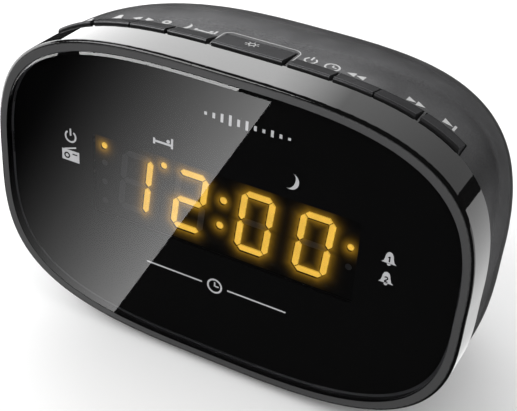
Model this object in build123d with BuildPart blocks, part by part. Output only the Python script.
from build123d import *
from math import cos, pi, sin
import os

# Clock radio: a wide rounded face with a dark display window, a glossy front ring,
# a domed matt case and a row of nine keys along its top front edge.
# Millimetres.  +X is to the right of someone facing the display, +Y runs from the
# display to the back, +Z is up.  The origin is on the table under the middle of the radio.

# ---------------------------------------------------------------- driving dimensions
WIDTH = 112.6            # face, side to side
HEIGHT = 72.8            # face, top to bottom
DEPTH = 60.0             # window glass to the back of the case
FOOT_HEIGHT = 1.6
GROUND_CLEARANCE = 2.2   # table to the lowest point of the ring
OUTLINE_POWER = 3.2      # exponent of the superellipse that every outline follows
OUTLINE_POINTS = 28      # spline points round one outline

RING_DEPTH = 10.0        # length of the glossy ring, front to back
RING_WALL = 2.3
RIM_SETBACK = 0.4        # the ring's front edge stands behind the window glass
SEAM = 0.3               # dark gap between ring and case
RIM_WIDTH = 2.2          # front edge of the ring, seen round the window
RIM_ROUND = 0.9
LEDGE_WIDTH = 1.7        # ledge that the window rests on
WINDOW_THICK = 2.3
FIT_GAP = 0.15           # play round a part that drops into another

CASE_WALL = 2.2
CASE_SWELL = 5.6         # the sides first swell, then taper, along a parabola
CASE_TAPER = 21.5
TOP_SWELL = 3.5
TOP_TAPER = 17.7
BOTTOM_RISE = 2.0
CASE_EDGE = 0.55         # case outline inside the ring's outline
BACK_ROUND = 6.5         # rounding round the flat back

KEY_GAP = 0.3            # slot clearance round each key
KEY_RISE = 1.25          # a key's front edge stands this far above the case
KEY_REAR_RISE = 0.1
KEY_WALL = 2.3
KEY_TRAVEL = 0.6
KEY_FRONT = RING_DEPTH + 0.5
SMALL_KEY_DEPTH = 4.3
SNOOZE_KEY_DEPTH = 6.8
KEY_STEM_Y = KEY_FRONT + 2.1
STEM_RADIUS = 1.4
STEM_PLAY = 0.07
SPLIT_GAP = 0.35         # between the two keys of a pair

SNOOZE_EDGE = 8.05       # the key row, measured outward from the middle
INNER_KEY = (9.35, 18.5)
PAIR_KEYS = (19.3, 36.9)
PAIR_SPLIT = 27.9
OUTER_KEY = (37.9, 46.3)

DIGIT_HEIGHT = 15.2
DIGIT_WIDTH = 8.0
DIGIT_SLANT = 5.4        # degrees
SEGMENT = 1.5            # stroke of a digit
DIGIT_CENTRES = (-21.7, -7.95, 7.95, 21.7)
DISPLAY_RISE = 2.0       # the digits' centre above the face's centre
DISPLAY_SETBACK = 3.8    # segment faces behind the window glass
DISPLAY_HALF_X = 32.5
DISPLAY_HALF_Z = 10.5
DISPLAY_THICK = 8.0
DOT_RADIUS = 0.75
DOT_COLUMN_X = 29.8
DOT_ROWS = (6.85, 2.5, -2.35, -7.3)   # above the digits' centre

BOARD_THICK = 1.6
CHASSIS_Y = 17.0
CHASSIS_THICK = 1.6
CHASSIS_TOP = 27.0
KEY_GUIDE_Z = 24.2
KEY_GUIDE_THICK = 1.2
KEY_BOARD_Z = 17.5
KEY_BOARD_THICK = 1.2
SWITCH_BODY = 6.0
SWITCH_HEIGHT = 3.5
SWITCH_CAP_RADIUS = 1.7
SWITCH_CAP_HEIGHT = 0.8
MAIN_BOARD_Y = 28.0

BEZEL_SCREW_X = 47.0
BEZEL_SCREW_Z = 14.0
CASE_SCREWS = ((-27.0, 10.0), (27.0, 10.0), (-33.0, -20.0), (33.0, -20.0))
CASE_SCREW_SEAT = 50.0   # depth of the screw heads, down the wells in the back
COLUMN_RADIUS = 4.0
COLUMN_END = 24.2
WELL_RADIUS = 3.3

SPEAKER_Z = -2.0
SPEAKER_RADIUS = 18.0
GRILLE_PITCH = 3.4
GRILLE_HOLE = 1.0

BAY_HALF_X = 25.0        # battery bay for two AAA cells, side by side
BAY_FRONT = 33.5
BAY_ROOF = -21.6
DOOR_HALF_X = 26.5
DOOR_FRONT = 36.5
DOOR_TOP = -24.0
TRAY_WALL = 1.4

GLAND_X = 27.5
GLAND_Z = -6.0
GLAND_BORE = 2.6
GLAND_LENGTH = 8.0
GLAND_FLANGE = 5.0
GLAND_FLANGE_THICK = 0.8

FOOT_RADIUS = 5.0
FOOT_X = 34.0
FOOT_FRONT = 17.0
FOOT_BACK = 46.0

# ---------------------------------------------------------------- derived values
HALF_W = WIDTH / 2
HALF_H = HEIGHT / 2
FRONT = -DEPTH / 2
FACE_Z = GROUND_CLEARANCE + HALF_H
CASE_FRONT = RING_DEPTH + SEAM
KEY_BOARD_TOP = FACE_Z + KEY_BOARD_Z + KEY_BOARD_THICK
SWITCH_TOP = KEY_BOARD_TOP + SWITCH_HEIGHT + SWITCH_CAP_HEIGHT
STEM_END = SWITCH_TOP + KEY_TRAVEL + 0.08
DISPLAY_BACK = DISPLAY_SETBACK + DISPLAY_THICK
BACK_INSIDE = DEPTH - CASE_WALL
DIGIT_Z = FACE_Z + DISPLAY_RISE
SCREW_TIP = CHASSIS_Y + CHASSIS_THICK + 1.0

os.makedirs("parts", exist_ok=True)


# ---------------------------------------------------------------- helpers
def save(piece, name):
    """Label a finished piece and write it as its own STEP file."""
    piece.part.label = name
    export_step(piece.part, f"parts/{name}.step")


def face_plane(depth):
    """Plane across the radio at a depth behind the glass: local x right, local y up."""
    return Plane(origin=(0, FRONT + depth, FACE_Z), x_dir=(1, 0, 0), z_dir=(0, -1, 0))


def flat_plane(height):
    """Horizontal plane at a height above the table."""
    return Plane.XY.offset(height)


def superellipse_height(x, half_w, half_h):
    """Height of the outline above its centre, at a distance x from the middle."""
    return half_h * (1 - abs(x / half_w) ** OUTLINE_POWER) ** (1 / OUTLINE_POWER)


def outline(half_w, top, bottom=None):
    """Superellipse sketch, from `bottom` below the centre line to `top` above it."""
    bottom = top if bottom is None else bottom
    half_h = (top + bottom) / 2
    middle = (top - bottom) / 2
    points = []
    for step in range(OUTLINE_POINTS):
        turn = 2 * pi * step / OUTLINE_POINTS
        across = abs(cos(turn)) ** (2 / OUTLINE_POWER)
        rise = abs(sin(turn)) ** (2 / OUTLINE_POWER)
        x = half_w * (across if cos(turn) > 0 else -across)
        z = middle + half_h * (rise if sin(turn) > 0 else -rise)
        points.append((x, z))
    with BuildSketch() as shape:
        with BuildLine():
            Spline(*points, periodic=True)
        make_face()
    return shape.sketch


def case_section(depth, inset):
    """Half width, top and bottom of the case at a depth, `inset` inside its surface."""
    run = (depth - RING_DEPTH) / (DEPTH - RING_DEPTH)
    half_w = HALF_W - CASE_EDGE + CASE_SWELL * run - CASE_TAPER * run ** 2
    top = HALF_H - CASE_EDGE + TOP_SWELL * run - TOP_TAPER * run ** 2
    bottom = HALF_H - CASE_EDGE - BOTTOM_RISE * run ** 2
    return half_w - inset, top - inset, bottom - inset


def case_volume(first, last, inset):
    """Domed solid inside the case's surface by `inset`, rounded round its flat back."""
    sections = 6
    with BuildPart() as volume:
        for step in range(sections):
            depth = first + (last - first) * step / (sections - 1)
            with BuildSketch(face_plane(depth)):
                add(outline(*case_section(depth, inset)))
        loft()
        fillet(volume.edges().group_by(Axis.Y)[-1], BACK_ROUND - inset)
    return volume.part


def key_strip(depth):
    """Wedge-shaped skin over the whole key row: keys of one depth are cut from it."""
    ends = ((KEY_FRONT, KEY_RISE), (KEY_FRONT + depth, KEY_REAR_RISE))
    with BuildPart() as strip:
        for place, rise in ends:
            with BuildSketch(face_plane(place)):
                add(outline(*case_section(place, -rise)))
        loft(ruled=True)
        with BuildSketch(face_plane(KEY_FRONT)):
            add(outline(*case_section(KEY_FRONT, KEY_WALL)))
        extrude(amount=-depth, mode=Mode.SUBTRACT)
    return strip.part


def slanted(x, z):
    """Point of a digit, leaned over by the display's slant."""
    return x + z * sin(DIGIT_SLANT * pi / 180), z


def digit_segments():
    """The seven bars of a digit: name, centre and whether it stands upright."""
    side = (DIGIT_WIDTH - SEGMENT) / 2
    half = (DIGIT_HEIGHT - SEGMENT) / 2
    return {
        "a": (0, half, False), "g": (0, 0, False), "d": (0, -half, False),
        "b": (side, half / 2, True), "c": (side, -half / 2, True),
        "f": (-side, half / 2, True), "e": (-side, -half / 2, True),
    }


def bar(centre_x, centre_z, length, upright):
    """One six-sided segment bar, pointed at both ends, leaned with the digit."""
    half = length / 2
    tip = SEGMENT / 2
    corners = [(-half, 0), (tip - half, tip), (half - tip, tip)]
    corners += [(half, 0), (half - tip, -tip), (tip - half, -tip)]
    if upright:
        corners = [(z, x) for x, z in corners]
    with BuildSketch() as shape:
        with BuildLine():
            Polyline(*[slanted(centre_x + x, centre_z + z) for x, z in corners], close=True)
        make_face()
    return shape.sketch


def digit_bars(names):
    """Sketch of the named bars of one digit, centred on the origin."""
    gap = 0.25
    with BuildSketch() as bars:
        for name in names:
            x, z, upright = digit_segments()[name]
            length = (DIGIT_HEIGHT - SEGMENT) / 2 if upright else DIGIT_WIDTH - SEGMENT
            add(bar(x, z, length - gap, upright))
    return bars.sketch


def screws_in_depth(places, seat, tip, head_radius, shank_radius):
    """Cross-head screws along Y: heads on the side of `seat` away from `tip`."""
    way = 1 if tip > seat else -1
    head_thick = 0.6 * head_radius + 0.2
    with BuildPart() as screws:
        with BuildSketch(face_plane(seat)):
            with Locations(*places):
                Circle(head_radius)
        extrude(amount=way * head_thick)
        with BuildSketch(face_plane(seat)):
            with Locations(*places):
                Circle(shank_radius)
        extrude(amount=-way * abs(tip - seat))
        with BuildSketch(face_plane(seat - way * head_thick)):
            with Locations(*places):
                Rectangle(1.2 * head_radius, 0.28 * head_radius)
                Rectangle(0.28 * head_radius, 1.2 * head_radius)
        extrude(amount=-way * 0.6 * head_thick, mode=Mode.SUBTRACT)
    return screws.part


def turned(x, z, profile):
    """Solid turned about a line along Y from (radius, depth) corners."""
    with BuildPart() as piece:
        with BuildSketch(Plane(origin=(x, FRONT, FACE_Z + z), x_dir=(1, 0, 0), z_dir=(0, 0, 1))):
            with BuildLine():
                Polyline(*profile, close=True)
            make_face()
        revolve(axis=Axis((x, FRONT, FACE_Z + z), (0, 1, 0)))
    return piece.part


def display_plane(x=0.0):
    """Plane of the segment faces, centred on the digits' mid height."""
    return Plane(origin=(x, FRONT + DISPLAY_SETBACK, DIGIT_Z), x_dir=(1, 0, 0), z_dir=(0, -1, 0))


# ---------------------------------------------------------------- front ring and window
WEB_THICK = 2.0          # webs behind the window that carry the ring's screw posts
WEB_SIZE = (9.0, 6.0)
WEB_SHIFT = 2.0          # a web reaches this much further out than its post
WEB_BACK = WINDOW_THICK + WEB_THICK
RING_POST_RADIUS = 3.0
RING_PILOT_RADIUS = 0.95
RING_PILOT_DEPTH = 9.0
WINDOW_BEVEL = 0.45
MASK_THICK = 0.6
MASK_NOTCH = (13.0, 6.4)
MASK_OVERLAP = 0.5       # the mask hides this much of the display's edge

with BuildPart() as front_ring:
    with BuildSketch(face_plane(RIM_SETBACK)):
        add(outline(HALF_W, HALF_H))
    extrude(amount=RIM_SETBACK - RING_DEPTH)
    fillet(front_ring.edges().group_by(Axis.Y)[0], RIM_ROUND)
    with BuildSketch(face_plane(0)):
        add(outline(HALF_W - RIM_WIDTH, HALF_H - RIM_WIDTH))
    extrude(amount=-WINDOW_THICK, mode=Mode.SUBTRACT)
    with BuildSketch(face_plane(0)):
        add(outline(HALF_W - RIM_WIDTH - LEDGE_WIDTH, HALF_H - RIM_WIDTH - LEDGE_WIDTH))
    extrude(amount=-RING_DEPTH, mode=Mode.SUBTRACT)
    with BuildSketch(face_plane(WEB_BACK)):
        add(outline(HALF_W - RING_WALL, HALF_H - RING_WALL))
    extrude(amount=-RING_DEPTH, mode=Mode.SUBTRACT)
    # posts for the chassis screws, standing on a web behind the ledge
    for side in (-1, 1):
        post_x = side * BEZEL_SCREW_X
        with BuildSketch(face_plane(WEB_BACK)):
            with Locations((post_x, BEZEL_SCREW_Z), (post_x, -BEZEL_SCREW_Z)):
                Circle(RING_POST_RADIUS)
        extrude(amount=WEB_BACK - CHASSIS_Y)
        web_x = side * (BEZEL_SCREW_X + WEB_SHIFT)
        with BuildSketch(face_plane(WINDOW_THICK)):
            with Locations((web_x, BEZEL_SCREW_Z), (web_x, -BEZEL_SCREW_Z)):
                Rectangle(*WEB_SIZE)
        extrude(amount=-WEB_THICK)
    with BuildSketch(face_plane(CHASSIS_Y)):
        with GridLocations(2 * BEZEL_SCREW_X, 2 * BEZEL_SCREW_Z, 2, 2):
            Circle(RING_PILOT_RADIUS)
    extrude(amount=RING_PILOT_DEPTH, mode=Mode.SUBTRACT)
save(front_ring, "front_ring")

with BuildPart() as display_window:
    with BuildSketch(face_plane(0)):
        add(outline(HALF_W - RIM_WIDTH - FIT_GAP, HALF_H - RIM_WIDTH - FIT_GAP))
    extrude(amount=-WINDOW_THICK)
    chamfer(display_window.edges().group_by(Axis.Y)[0], WINDOW_BEVEL)
save(display_window, "display_window")

with BuildPart() as window_mask:
    mask_inset = RIM_WIDTH + LEDGE_WIDTH + FIT_GAP
    with BuildSketch(face_plane(WINDOW_THICK + 0.1)):
        add(outline(HALF_W - mask_inset, HALF_H - mask_inset))
    extrude(amount=-MASK_THICK)
    with BuildSketch(face_plane(WINDOW_THICK)):
        with Locations((0, DISPLAY_RISE)):
            Rectangle(2 * (DISPLAY_HALF_X - MASK_OVERLAP), 2 * (DISPLAY_HALF_Z - MASK_OVERLAP))
    extrude(amount=-2 * MASK_THICK, mode=Mode.SUBTRACT)
    with BuildSketch(face_plane(WINDOW_THICK)):
        with GridLocations(2 * BEZEL_SCREW_X + 3.5, 2 * BEZEL_SCREW_Z, 2, 2):
            Rectangle(*MASK_NOTCH)
    extrude(amount=-2 * MASK_THICK, mode=Mode.SUBTRACT)
save(window_mask, "window_mask")

# ---------------------------------------------------------------- case
case_outside = case_volume(CASE_FRONT, DEPTH, 0)
case_inside = case_volume(CASE_FRONT, BACK_INSIDE, CASE_WALL)
KEY_SLOTS = [
    (-SNOOZE_EDGE, SNOOZE_EDGE, SNOOZE_KEY_DEPTH),
    (-INNER_KEY[1], -INNER_KEY[0], SMALL_KEY_DEPTH),
    (INNER_KEY[0], INNER_KEY[1], SMALL_KEY_DEPTH),
    (-PAIR_KEYS[1], -PAIR_KEYS[0], SMALL_KEY_DEPTH),
    (PAIR_KEYS[0], PAIR_KEYS[1], SMALL_KEY_DEPTH),
    (-OUTER_KEY[1], -OUTER_KEY[0], SMALL_KEY_DEPTH),
    (OUTER_KEY[0], OUTER_KEY[1], SMALL_KEY_DEPTH),
]
SLOT_FLOOR = 20.0        # the slots are cut down to this height above the face's centre
LIP_FRONT = CASE_FRONT - 2.6
LIP_LENGTH = 4.2
LIP_THICK = 1.7
CASE_SCREW_HOLE = 1.7
SPEAKER_POSTS = (SPEAKER_RADIUS + 2.2, 4)   # radius of their circle, and how many
SPEAKER_POST_RADIUS = 2.0
SPEAKER_PILOT_RADIUS = 0.8
BUSHING_WALL = 1.0
SPEAKER_PILOT_DEPTH = 3.0
FOOT_PAD_PLAY = 0.8
FOOT_PAD_THICK = 4.2
DOOR_RIB = (16.0, 0.8)
DOOR_RIB_PITCH = 1.8
DOOR_RIB_DEPTH = 5.0     # the middle rib, behind the door's front edge

with BuildPart() as case_shell:
    add(case_outside)
    add(case_inside, mode=Mode.SUBTRACT)
    # lip that locates the ring
    lip_inset = RING_WALL + LIP_THICK
    with BuildSketch(face_plane(LIP_FRONT)):
        add(outline(HALF_W - RING_WALL - FIT_GAP, HALF_H - RING_WALL - FIT_GAP))
        add(outline(HALF_W - lip_inset, HALF_H - lip_inset), mode=Mode.SUBTRACT)
    extrude(amount=-LIP_LENGTH)
    # slots for the keys
    for left, right, depth in KEY_SLOTS:
        with BuildSketch(face_plane(0)):
            with Locations(((left + right) / 2, SLOT_FLOOR + HALF_H / 2)):
                Rectangle(right - left + 2 * KEY_GAP, HALF_H)
        extrude(amount=-(KEY_FRONT + depth + KEY_GAP), mode=Mode.SUBTRACT)
    # columns for the long screws, with wells in the back
    with BuildSketch(face_plane(COLUMN_END)):
        with Locations(*CASE_SCREWS):
            Circle(COLUMN_RADIUS)
    extrude(amount=COLUMN_END - BACK_INSIDE - 0.4)
    with BuildSketch(face_plane(CASE_SCREW_SEAT)):
        with Locations(*CASE_SCREWS):
            Circle(WELL_RADIUS)
    extrude(amount=-DEPTH, mode=Mode.SUBTRACT)
    with BuildSketch(face_plane(0)):
        with Locations(*CASE_SCREWS):
            Circle(CASE_SCREW_HOLE)
    extrude(amount=-DEPTH, mode=Mode.SUBTRACT)
    # speaker grille: rings of round holes
    with BuildSketch(face_plane(DEPTH)):
        with Locations((0, SPEAKER_Z)):
            Circle(GRILLE_HOLE)
        for ring in range(1, 5):
            with Locations((0, SPEAKER_Z)):
                with PolarLocations(GRILLE_PITCH * ring, 6 * ring):
                    Circle(GRILLE_HOLE)
    extrude(amount=CASE_WALL + 1, mode=Mode.SUBTRACT)
    # posts for the speaker screws
    with BuildSketch(face_plane(BACK_INSIDE + 0.4)):
        with Locations((0, SPEAKER_Z)):
            with PolarLocations(*SPEAKER_POSTS, start_angle=45):
                Circle(SPEAKER_POST_RADIUS)
    extrude(amount=2.2)
    with BuildSketch(face_plane(BACK_INSIDE)):
        with Locations((0, SPEAKER_Z)):
            with PolarLocations(*SPEAKER_POSTS, start_angle=45):
                Circle(SPEAKER_PILOT_RADIUS)
    extrude(amount=SPEAKER_PILOT_DEPTH, mode=Mode.SUBTRACT)
    # hole for the mains lead's bushing
    with BuildSketch(face_plane(DEPTH)):
        with Locations((GLAND_X, GLAND_Z)):
            Circle(GLAND_BORE + BUSHING_WALL + 0.2)
    extrude(amount=CASE_WALL + 1, mode=Mode.SUBTRACT)
    with BuildSketch(face_plane(DEPTH)):
        with Locations((GLAND_X, GLAND_Z)):
            Circle(GLAND_FLANGE + 0.2)
    extrude(amount=GLAND_FLANGE_THICK, mode=Mode.SUBTRACT)
    # flat pads for the feet
    with BuildSketch(flat_plane(FOOT_HEIGHT)):
        with Locations((0, FRONT + (FOOT_FRONT + FOOT_BACK) / 2)):
            with GridLocations(2 * FOOT_X, FOOT_BACK - FOOT_FRONT, 2, 2):
                Circle(FOOT_RADIUS + FOOT_PAD_PLAY)
    extrude(amount=FOOT_PAD_THICK)
    # opening that the battery door fills
    with BuildSketch(flat_plane(0)):
        with Locations((0, FRONT + (DOOR_FRONT + DEPTH + 1) / 2)):
            Rectangle(2 * DOOR_HALF_X, DEPTH + 1 - DOOR_FRONT)
    extrude(amount=FACE_Z + DOOR_TOP, mode=Mode.SUBTRACT)
save(case_shell, "case_shell")

with BuildPart() as battery_door:
    add(case_outside)
    add(case_inside, mode=Mode.SUBTRACT)
    with BuildSketch(flat_plane(0)):
        with Locations((0, FRONT + (DOOR_FRONT + FIT_GAP + DEPTH + 1) / 2)):
            Rectangle(2 * (DOOR_HALF_X - FIT_GAP), DEPTH + 1 - DOOR_FRONT - FIT_GAP)
    extrude(amount=FACE_Z + DOOR_TOP - 2 * FIT_GAP, mode=Mode.INTERSECT)
    # ribs that a thumb pushes against, across the bottom
    with BuildSketch(flat_plane(GROUND_CLEARANCE + 1.0)):
        with Locations((0, FRONT + DOOR_FRONT + DOOR_RIB_DEPTH)):
            with GridLocations(1, DOOR_RIB_PITCH, 1, 3):
                Rectangle(*DOOR_RIB)
    extrude(amount=1.8)
save(battery_door, "battery_door")

with BuildPart() as feet:
    with BuildSketch(flat_plane(0)):
        with Locations((0, FRONT + (FOOT_FRONT + FOOT_BACK) / 2)):
            with GridLocations(2 * FOOT_X, FOOT_BACK - FOOT_FRONT, 2, 2):
                Circle(FOOT_RADIUS)
    extrude(amount=FOOT_HEIGHT)
    chamfer(feet.edges().group_by(Axis.Z)[0], 0.3)
save(feet, "feet")

# ---------------------------------------------------------------- keys
KEYS = {
    "alarm_1_key": (-OUTER_KEY[1], -OUTER_KEY[0]),
    "hour_key": (-PAIR_KEYS[1], -PAIR_SPLIT - SPLIT_GAP / 2),
    "minute_key": (-PAIR_SPLIT + SPLIT_GAP / 2, -PAIR_KEYS[0]),
    "alarm_2_key": (-INNER_KEY[1], -INNER_KEY[0]),
    "snooze_key": (-SNOOZE_EDGE, SNOOZE_EDGE),
    "sleep_key": (INNER_KEY[0], INNER_KEY[1]),
    "tune_down_key": (PAIR_KEYS[0], PAIR_SPLIT - SPLIT_GAP / 2),
    "tune_up_key": (PAIR_SPLIT + SPLIT_GAP / 2, PAIR_KEYS[1]),
    "radio_key": (OUTER_KEY[0], OUTER_KEY[1]),
}
KEY_ROUND = 0.5
STEM_ROOT = 1.2          # the stems start this far inside the keys' skin
key_strips = {depth: key_strip(depth) for depth in (SMALL_KEY_DEPTH, SNOOZE_KEY_DEPTH)}
STEM_XS = [(left + right) / 2 for left, right in KEYS.values()]

for name, (left, right) in KEYS.items():
    depth = SNOOZE_KEY_DEPTH if name == "snooze_key" else SMALL_KEY_DEPTH
    middle = (left + right) / 2
    half_w, top, bottom = case_section(KEY_FRONT, STEM_ROOT)
    with BuildPart() as key:
        add(key_strips[depth])
        with BuildSketch(flat_plane(FACE_Z + SLOT_FLOOR)):
            with Locations((middle, FRONT + KEY_FRONT + depth / 2)):
                Rectangle(right - left, depth + 2)
        extrude(amount=HALF_H, mode=Mode.INTERSECT)
        fillet(key.edges().group_by(Axis.Y)[0].sort_by(Axis.Z)[-1], KEY_ROUND)
        with BuildSketch(flat_plane(STEM_END)):
            with Locations((middle, FRONT + KEY_STEM_Y)):
                Circle(STEM_RADIUS)
        extrude(amount=FACE_Z + superellipse_height(middle, half_w, top) - STEM_END)
    save(key, name)

# ---------------------------------------------------------------- chassis and boards
BOARD_SCREW_RADIUS = 0.8
DISPLAY_BOARD_SCREWS = [(x, DISPLAY_RISE + z) for x in (-36.5, 36.5) for z in (-9.5, 9.5)]
MAIN_BOARD_SCREWS = [(-38.5, 12.0), (38.5, 12.0), (-18.0, -23.0), (18.0, -23.0)]
KEY_BOARD_SCREW_XS = (-37.3, -18.7, 18.7, 37.3)
KEY_BOARD_SCREW_Y = 8.9
SHELF_THICK = 1.6
RIBBON_WIDTH = 20.0
RIBBON_THICK = 0.5
RIBBON_Z = -8.0
HEADER_X = -41.0
HEADER_WIDTH = 4.4
CHASSIS_INSET = (4.6, 3.6)                  # inside the face's outline, sideways and up
SHELF_FRONT = 7.6
SHELF_WIDTH = 88.0
SHELF_BOSS = (1.8, 2.2)                     # radius and length
GUIDE_WIDTH = 89.2
STANDOFF_RADIUS = 2.2
CASE_BOSS_RADIUS = 3.4
CASE_PILOT_RADIUS = 1.25
RING_SCREW_HOLE = 1.2
PILOT_RADIUS = BOARD_SCREW_RADIUS + 0.05
SCREW_HOLE_RADIUS = BOARD_SCREW_RADIUS + 0.3
DISPLAY_BOARD_SIZE = (80.0, 26.0)
KEY_BOARD_SIZE = (90.4, 9.6)
KEY_BOARD_Y = 11.8
MAIN_BOARD_SIZE = (84.0, 42.0)
MAIN_BOARD_MIDDLE = -5.0

with BuildPart() as chassis:
    with BuildSketch(face_plane(CHASSIS_Y)):
        add(outline(HALF_W - CHASSIS_INSET[0], HALF_H - CHASSIS_INSET[1]))
    extrude(amount=-CHASSIS_THICK)
    with BuildSketch(flat_plane(FACE_Z + CHASSIS_TOP)):
        Rectangle(WIDTH, DEPTH)
    extrude(amount=HALF_H, mode=Mode.SUBTRACT)
    # shelf that carries the key board
    with BuildSketch(flat_plane(FACE_Z + KEY_BOARD_Z - SHELF_THICK)):
        with Locations((0, FRONT + (SHELF_FRONT + CHASSIS_Y) / 2)):
            Rectangle(SHELF_WIDTH, CHASSIS_Y - SHELF_FRONT)
        with Locations((HEADER_X, FRONT + 14.7)):
            Rectangle(HEADER_WIDTH + 1.6, 3.4, mode=Mode.SUBTRACT)
    extrude(amount=SHELF_THICK)
    boss_radius, boss_length = SHELF_BOSS
    with BuildSketch(flat_plane(FACE_Z + KEY_BOARD_Z - SHELF_THICK - boss_length)):
        with Locations(*[(x, FRONT + KEY_BOARD_SCREW_Y) for x in KEY_BOARD_SCREW_XS]):
            Circle(boss_radius)
    extrude(amount=boss_length)
    with BuildSketch(flat_plane(FACE_Z)):
        with Locations(*[(x, FRONT + KEY_BOARD_SCREW_Y) for x in KEY_BOARD_SCREW_XS]):
            Circle(PILOT_RADIUS)
    extrude(amount=KEY_BOARD_Z + 1, mode=Mode.SUBTRACT)
    # guide plate with a round hole for each key's stem
    with BuildSketch(flat_plane(FACE_Z + KEY_GUIDE_Z)):
        with Locations((0, FRONT + (KEY_FRONT + 0.2 + CHASSIS_Y) / 2)):
            Rectangle(GUIDE_WIDTH, CHASSIS_Y - KEY_FRONT - 0.2)
        with Locations(*[(x, FRONT + KEY_STEM_Y) for x in STEM_XS]):
            Circle(STEM_RADIUS + STEM_PLAY, mode=Mode.SUBTRACT)
    extrude(amount=KEY_GUIDE_THICK)
    # standoffs for the display board in front and the main board behind
    with BuildSketch(face_plane(DISPLAY_BACK + BOARD_THICK)):
        with Locations(*DISPLAY_BOARD_SCREWS):
            Circle(STANDOFF_RADIUS)
    extrude(amount=DISPLAY_BACK + BOARD_THICK - CHASSIS_Y)
    with BuildSketch(face_plane(CHASSIS_Y + CHASSIS_THICK)):
        with Locations(*MAIN_BOARD_SCREWS):
            Circle(STANDOFF_RADIUS)
    extrude(amount=CHASSIS_Y + CHASSIS_THICK - MAIN_BOARD_Y)
    with BuildSketch(face_plane(0)):
        with Locations(*DISPLAY_BOARD_SCREWS, *MAIN_BOARD_SCREWS):
            Circle(PILOT_RADIUS)
    extrude(amount=-MAIN_BOARD_Y - 1, mode=Mode.SUBTRACT)
    # bosses that take the long case screws, and holes for the ring's screws
    with BuildSketch(face_plane(CHASSIS_Y + CHASSIS_THICK)):
        with Locations(*CASE_SCREWS):
            Circle(CASE_BOSS_RADIUS)
    extrude(amount=CHASSIS_Y + CHASSIS_THICK - COLUMN_END + 0.2)
    with BuildSketch(face_plane(COLUMN_END)):
        with Locations(*CASE_SCREWS):
            Circle(CASE_PILOT_RADIUS)
    extrude(amount=COLUMN_END - CHASSIS_Y - CHASSIS_THICK, mode=Mode.SUBTRACT)
    with BuildSketch(face_plane(CHASSIS_Y)):
        with GridLocations(2 * BEZEL_SCREW_X, 2 * BEZEL_SCREW_Z, 2, 2):
            Circle(RING_SCREW_HOLE)
    extrude(amount=-CHASSIS_THICK, mode=Mode.SUBTRACT)
    # slot that the ribbon cable passes through
    with BuildSketch(face_plane(CHASSIS_Y)):
        with Locations((0, RIBBON_Z)):
            SlotOverall(RIBBON_WIDTH + 4.0, 4.4)
    extrude(amount=-CHASSIS_THICK, mode=Mode.SUBTRACT)
save(chassis, "chassis")

with BuildPart() as display_board:
    with BuildSketch(face_plane(DISPLAY_BACK)):
        with Locations((0, DISPLAY_RISE)):
            RectangleRounded(*DISPLAY_BOARD_SIZE, 1.0)
        with Locations(*DISPLAY_BOARD_SCREWS):
            Circle(SCREW_HOLE_RADIUS, mode=Mode.SUBTRACT)
    extrude(amount=-BOARD_THICK)
save(display_board, "display_board")

with BuildPart() as key_board:
    with BuildSketch(flat_plane(FACE_Z + KEY_BOARD_Z)):
        with Locations((0, FRONT + KEY_BOARD_Y)):
            RectangleRounded(*KEY_BOARD_SIZE, 0.8)
        with Locations(*[(x, FRONT + KEY_BOARD_SCREW_Y) for x in KEY_BOARD_SCREW_XS]):
            Circle(SCREW_HOLE_RADIUS, mode=Mode.SUBTRACT)
    extrude(amount=KEY_BOARD_THICK)
save(key_board, "key_board")

with BuildPart() as key_switches:
    with BuildSketch(flat_plane(KEY_BOARD_TOP)):
        with Locations(*[(x, FRONT + KEY_STEM_Y) for x in STEM_XS]):
            RectangleRounded(SWITCH_BODY, SWITCH_BODY, 0.4)
    extrude(amount=SWITCH_HEIGHT)
save(key_switches, "key_switches")

with BuildPart() as switch_caps:
    with BuildSketch(flat_plane(KEY_BOARD_TOP + SWITCH_HEIGHT)):
        with Locations(*[(x, FRONT + KEY_STEM_Y) for x in STEM_XS]):
            Circle(SWITCH_CAP_RADIUS)
    extrude(amount=SWITCH_CAP_HEIGHT)
save(switch_caps, "switch_caps")

with BuildPart() as main_board:
    with BuildSketch(face_plane(MAIN_BOARD_Y)):
        with Locations((0, MAIN_BOARD_MIDDLE)):
            RectangleRounded(*MAIN_BOARD_SIZE, 2.0)
        with Locations(*CASE_SCREWS):
            Circle(COLUMN_RADIUS + 0.5, mode=Mode.SUBTRACT)
        with Locations(*MAIN_BOARD_SCREWS):
            Circle(SCREW_HOLE_RADIUS, mode=Mode.SUBTRACT)
    extrude(amount=-BOARD_THICK)
save(main_board, "main_board")

with BuildPart() as board_header:
    with BuildSketch(flat_plane(FACE_Z + KEY_BOARD_Z - 5.0)):
        with Locations((HEADER_X, FRONT + DISPLAY_BACK + BOARD_THICK + 1.25)):
            Rectangle(HEADER_WIDTH, 2.5)
    extrude(amount=5.0)
save(board_header, "board_header")

with BuildPart() as ribbon_cable:
    start = FRONT + DISPLAY_BACK + BOARD_THICK
    end = FRONT + MAIN_BOARD_Y
    sag = 1.2
    with BuildSketch(Plane.YZ.offset(-RIBBON_WIDTH / 2)):
        with BuildLine():
            top = FACE_Z + RIBBON_Z + RIBBON_THICK
            upper = ThreePointArc((start, top), ((start + end) / 2, top - sag), (end, top))
            under = top - RIBBON_THICK
            lower = ThreePointArc((start, under), ((start + end) / 2, under - sag), (end, under))
            Line(upper @ 0, lower @ 0)
            Line(upper @ 1, lower @ 1)
        make_face()
    extrude(amount=RIBBON_WIDTH)
save(ribbon_cable, "ribbon_cable")

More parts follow.
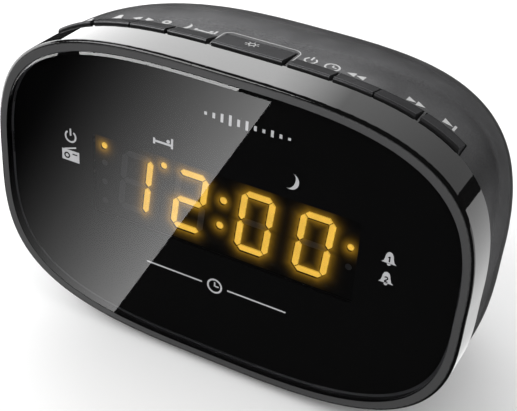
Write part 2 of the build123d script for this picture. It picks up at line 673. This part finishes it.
# ---------------------------------------------------------------- display
ALL_BARS = "abcdefg"
LIT_BARS = ("bc", "abged", "abcdef", "abcdef")   # the time 12:00
COLON_RISE = 3.2
SEGMENT_THICK = 0.3
LIT_DOTS = [(-DOT_COLUMN_X, DOT_ROWS[0]), (DOT_COLUMN_X, DOT_ROWS[1]), (-14.5, DOT_ROWS[0])]
DARK_DOTS = [(-DOT_COLUMN_X, row) for row in DOT_ROWS[1:]] + [(DOT_COLUMN_X, DOT_ROWS[2])]

with BuildPart() as lit_segments:
    for digit_x, names in zip(DIGIT_CENTRES, LIT_BARS):
        with BuildSketch(display_plane(digit_x)):
            add(digit_bars(names))
        extrude(amount=-SEGMENT_THICK)
    with BuildSketch(display_plane()):
        with Locations(slanted(0, COLON_RISE), slanted(0, -COLON_RISE)):
            Circle(DOT_RADIUS + 0.1)
        with Locations(*LIT_DOTS):
            Circle(DOT_RADIUS)
    extrude(amount=-SEGMENT_THICK)
save(lit_segments, "lit_segments")

with BuildPart() as dark_segments:
    for digit_x, names in zip(DIGIT_CENTRES, LIT_BARS):
        with BuildSketch(display_plane(digit_x)):
            add(digit_bars([name for name in ALL_BARS if name not in names]))
        extrude(amount=-SEGMENT_THICK)
    with BuildSketch(display_plane()):
        with Locations(*DARK_DOTS):
            Circle(DOT_RADIUS)
    extrude(amount=-SEGMENT_THICK)
save(dark_segments, "dark_segments")

with BuildPart() as display_block:
    with BuildSketch(display_plane()):
        RectangleRounded(2 * DISPLAY_HALF_X, 2 * DISPLAY_HALF_Z, 0.6)
    extrude(amount=-DISPLAY_THICK)
    add(lit_segments.part, mode=Mode.SUBTRACT)
    add(dark_segments.part, mode=Mode.SUBTRACT)
save(display_block, "display_block")

# ---------------------------------------------------------------- main board's components
COMPONENT_Y = MAIN_BOARD_Y + BOARD_THICK
TRANSFORMER = (-31.0, -5.0)
CORE_SIZE = (22.0, 18.5)
CORE_THICK = 8.0
CORE_WINDOW = (4.5, 12.0)     # the two holes that the coil is wound through
CORE_WINDOW_PITCH = 11.5
COIL_SIZE = (15.6, 11.6)
COIL_DEPTH = 18.0
CAPACITORS = ((-8.0, -13.0, 4.0, 10.0), (3.0, -13.0, 4.0, 10.0), (13.0, -14.0, 3.2, 8.0))
CHIPS = ((10.0, 7.0, 12.0, 9.0), (-8.0, 7.0, 9.0, 6.0), (30.0, -10.5, 8.0, 5.0))
CHIP_THICK = 1.8
TUNER_CANS = ((22.0, -1.0), (31.0, -1.0))
TUNER_CAN_SIZE = 7.0
TUNER_CAN_TALL = 8.0

with BuildPart() as transformer_core:
    with BuildSketch(face_plane(COMPONENT_Y + (COIL_DEPTH - CORE_THICK) / 2)):
        with Locations(TRANSFORMER):
            Rectangle(*CORE_SIZE)
            with GridLocations(CORE_WINDOW_PITCH, 1, 2, 1):
                Rectangle(*CORE_WINDOW, mode=Mode.SUBTRACT)
    extrude(amount=-CORE_THICK)
save(transformer_core, "transformer_core")

with BuildPart() as transformer_coil:
    with BuildSketch(face_plane(COMPONENT_Y)):
        with Locations(TRANSFORMER):
            RectangleRounded(*COIL_SIZE, 1.5)
    extrude(amount=-COIL_DEPTH)
    add(transformer_core.part, mode=Mode.SUBTRACT)
save(transformer_coil, "transformer_coil")

with BuildPart() as capacitors:
    for x, z, radius, tall in CAPACITORS:
        with BuildSketch(face_plane(COMPONENT_Y)):
            with Locations((x, z)):
                Circle(radius)
        extrude(amount=-tall)
    fillet(capacitors.edges().filter_by(GeomType.CIRCLE).sort_by(Axis.Y)[-3:], 0.5)
save(capacitors, "capacitors")

with BuildPart() as circuit_chips:
    for x, z, wide, tall in CHIPS:
        with BuildSketch(face_plane(COMPONENT_Y)):
            with Locations((x, z)):
                Rectangle(wide, tall)
        extrude(amount=-CHIP_THICK)
save(circuit_chips, "circuit_chips")

with BuildPart() as tuner_cans:
    with BuildSketch(face_plane(COMPONENT_Y)):
        with Locations(*TUNER_CANS):
            RectangleRounded(TUNER_CAN_SIZE, TUNER_CAN_SIZE, 0.5)
    extrude(amount=-TUNER_CAN_TALL)
    with BuildSketch(face_plane(COMPONENT_Y + TUNER_CAN_TALL)):
        with Locations(*TUNER_CANS):
            Circle(1.6)
    extrude(amount=1.0, mode=Mode.SUBTRACT)
save(tuner_cans, "tuner_cans")

# ---------------------------------------------------------------- battery bay
TRAY_BOTTOM = -32.3
CELL_YS = (39.6, 50.4)
CELL_Z = -26.6
CONTACT_SIZE = 7.0
TRAY_CLEARANCE = 0.35
tray_limit = case_volume(CASE_FRONT, BACK_INSIDE - TRAY_CLEARANCE, CASE_WALL + TRAY_CLEARANCE)
CONTACT_THICK = 0.4

with BuildPart() as battery_tray:
    with BuildSketch(flat_plane(FACE_Z + TRAY_BOTTOM)):
        with Locations((0, FRONT + (BAY_FRONT - TRAY_WALL + DEPTH) / 2)):
            Rectangle(2 * (BAY_HALF_X + TRAY_WALL), DEPTH - BAY_FRONT + TRAY_WALL)
    extrude(amount=BAY_ROOF + TRAY_WALL - TRAY_BOTTOM)
    add(tray_limit, mode=Mode.INTERSECT)
    with BuildSketch(flat_plane(FACE_Z + TRAY_BOTTOM)):
        with Locations((0, FRONT + (BAY_FRONT + DEPTH) / 2)):
            Rectangle(2 * BAY_HALF_X, DEPTH - BAY_FRONT)
    extrude(amount=BAY_ROOF - TRAY_BOTTOM, mode=Mode.SUBTRACT)
save(battery_tray, "battery_tray")

with BuildPart() as battery_contacts:
    for side in (-1, 1):
        with BuildSketch(Plane.YZ.offset(side * (BAY_HALF_X - CONTACT_THICK / 2) - CONTACT_THICK / 2)):
            with Locations(*[(FRONT + y, FACE_Z + CELL_Z) for y in (CELL_YS[0], CELL_YS[1] - 2.0)]):
                RectangleRounded(CONTACT_SIZE, CONTACT_SIZE, 1.0)
        extrude(amount=CONTACT_THICK)
save(battery_contacts, "battery_contacts")

with BuildPart() as battery_springs:
    coils = 4
    wire = 0.7
    coil_pitch = 1.1
    for side, cell_y in ((-1, CELL_YS[0]), (1, CELL_YS[1] - 2.0)):
        # conical spring as a ribbed cone, widest on its contact plate
        outer = []
        for turn in range(2 * coils + 1):
            radius = 3.4 - 0.18 * turn - (0.5 if turn % 2 else 0.0)
            outer.append((radius, turn * coil_pitch / 2))
        inner = [(radius - wire, height) for radius, height in reversed(outer)]
        base = (side * (BAY_HALF_X - CONTACT_THICK), FRONT + cell_y, FACE_Z + CELL_Z)
        with BuildSketch(Plane(origin=base, x_dir=(0, 1, 0), z_dir=(0, 0, side))):
            with BuildLine():
                Polyline(*outer, *inner, close=True)
            make_face()
        revolve(axis=Axis(base, (1, 0, 0)))
save(battery_springs, "battery_springs")

# ---------------------------------------------------------------- speaker
# the speaker's pieces are turned from (radius, depth) corners
FLANGE_Y = 56.0
FLANGE_THICK = 1.0
MAGNET_FRONT = 40.8
MAGNET_BACK = 47.6
MAGNET_RADIUS = 11.0

with BuildPart() as speaker_basket:
    add(turned(0, SPEAKER_Z, [
        (SPEAKER_RADIUS, FLANGE_Y + FLANGE_THICK), (15.8, FLANGE_Y + FLANGE_THICK), (15.8, 56.2),
        (10.4, 48.6), (6.0, 48.6), (6.0, MAGNET_BACK), (MAGNET_RADIUS, MAGNET_BACK),
        (16.6, FLANGE_Y), (SPEAKER_RADIUS, FLANGE_Y)]))
save(speaker_basket, "speaker_basket")

with BuildPart() as speaker_magnet:
    add(turned(0, SPEAKER_Z, [
        (0, MAGNET_FRONT), (MAGNET_RADIUS, MAGNET_FRONT), (MAGNET_RADIUS, MAGNET_BACK),
        (4.8, MAGNET_BACK), (4.8, 42.4),
        (3.4, 42.4), (3.4, 48.2), (0, 48.2)]))
save(speaker_magnet, "speaker_magnet")

with BuildPart() as speaker_cone:
    add(turned(0, SPEAKER_Z, [
        (3.9, 43.6), (4.3, 43.6), (4.3, 49.4), (13.6, 55.2), (13.6, 55.8), (4.5, 50.2),
        (3.6, 51.2), (2.0, 51.9), (0, 52.1), (0, 51.6), (1.9, 51.4), (3.3, 50.7), (3.9, 50.0)]))
save(speaker_cone, "speaker_cone")

with BuildPart() as speaker_surround:
    add(turned(0, SPEAKER_Z, [
        (14.0, 55.3), (14.4, 56.2), (14.9, 56.5), (15.4, 56.3), (15.75, 56.3), (15.75, 56.8),
        (15.4, 56.9), (14.8, 57.0), (14.1, 56.6), (14.0, 55.8)]))
save(speaker_surround, "speaker_surround")

with BuildPart() as speaker_gasket:
    seat = FLANGE_Y + FLANGE_THICK
    add(turned(0, SPEAKER_Z, [
        (15.9, seat), (SPEAKER_RADIUS, seat), (SPEAKER_RADIUS, BACK_INSIDE), (15.9, BACK_INSIDE)]))
save(speaker_gasket, "speaker_gasket")

with BuildPart() as grille_cloth:
    with BuildSketch(face_plane(57.3)):
        with Locations((0, SPEAKER_Z)):
            Circle(15.8)
    extrude(amount=-0.4)
save(grille_cloth, "grille_cloth")

# ---------------------------------------------------------------- mains lead's bushing
with BuildPart() as lead_bushing:
    gland_front = DEPTH - GLAND_LENGTH
    sleeve = GLAND_BORE + BUSHING_WALL
    barb = sleeve + 1.2
    barb_back = BACK_INSIDE - 0.1
    barb_front = barb_back - 1.5
    add(turned(GLAND_X, GLAND_Z, [
        (GLAND_BORE, gland_front), (sleeve, gland_front), (sleeve, barb_front),
        (barb, barb_front), (barb, barb_back), (sleeve, barb_back),
        (sleeve, DEPTH - GLAND_FLANGE_THICK), (GLAND_FLANGE, DEPTH - GLAND_FLANGE_THICK),
        (GLAND_FLANGE, DEPTH), (GLAND_BORE, DEPTH)]))
save(lead_bushing, "lead_bushing")

# ---------------------------------------------------------------- screws
SPEAKER_SCREWS = []
for quarter in range(4):
    turn = pi / 4 + quarter * pi / 2
    reach = SPEAKER_POSTS[0]
    SPEAKER_SCREWS.append((reach * cos(turn), SPEAKER_Z + reach * sin(turn)))
RING_SCREWS = [(x, z) for x in (-BEZEL_SCREW_X, BEZEL_SCREW_X) for z in (-BEZEL_SCREW_Z, BEZEL_SCREW_Z)]

with BuildPart() as case_screws:
    add(screws_in_depth(CASE_SCREWS, CASE_SCREW_SEAT, SCREW_TIP, 2.8, 1.2))
save(case_screws, "case_screws")

with BuildPart() as ring_screws:
    add(screws_in_depth(RING_SCREWS, CHASSIS_Y + CHASSIS_THICK, 9.5, 1.9, 0.9))
save(ring_screws, "ring_screws")

with BuildPart() as board_screws:
    add(screws_in_depth(DISPLAY_BOARD_SCREWS, DISPLAY_BACK, CHASSIS_Y, 1.6, BOARD_SCREW_RADIUS))
    add(screws_in_depth(MAIN_BOARD_SCREWS, COMPONENT_Y, 21.0, 1.6, BOARD_SCREW_RADIUS))
save(board_screws, "board_screws")

with BuildPart() as key_board_screws:
    key_screw_places = [(x, FRONT + KEY_BOARD_SCREW_Y) for x in KEY_BOARD_SCREW_XS]
    with BuildSketch(flat_plane(KEY_BOARD_TOP)):
        with Locations(*key_screw_places):
            Circle(1.5)
    extrude(amount=1.1)
    with BuildSketch(flat_plane(KEY_BOARD_TOP)):
        with Locations(*key_screw_places):
            Circle(BOARD_SCREW_RADIUS)
    extrude(amount=-4.8)
save(key_board_screws, "key_board_screws")

with BuildPart() as speaker_screws:
    add(screws_in_depth(SPEAKER_SCREWS, FLANGE_Y, BACK_INSIDE - 0.2, 2.4, 0.75))
save(speaker_screws, "speaker_screws")
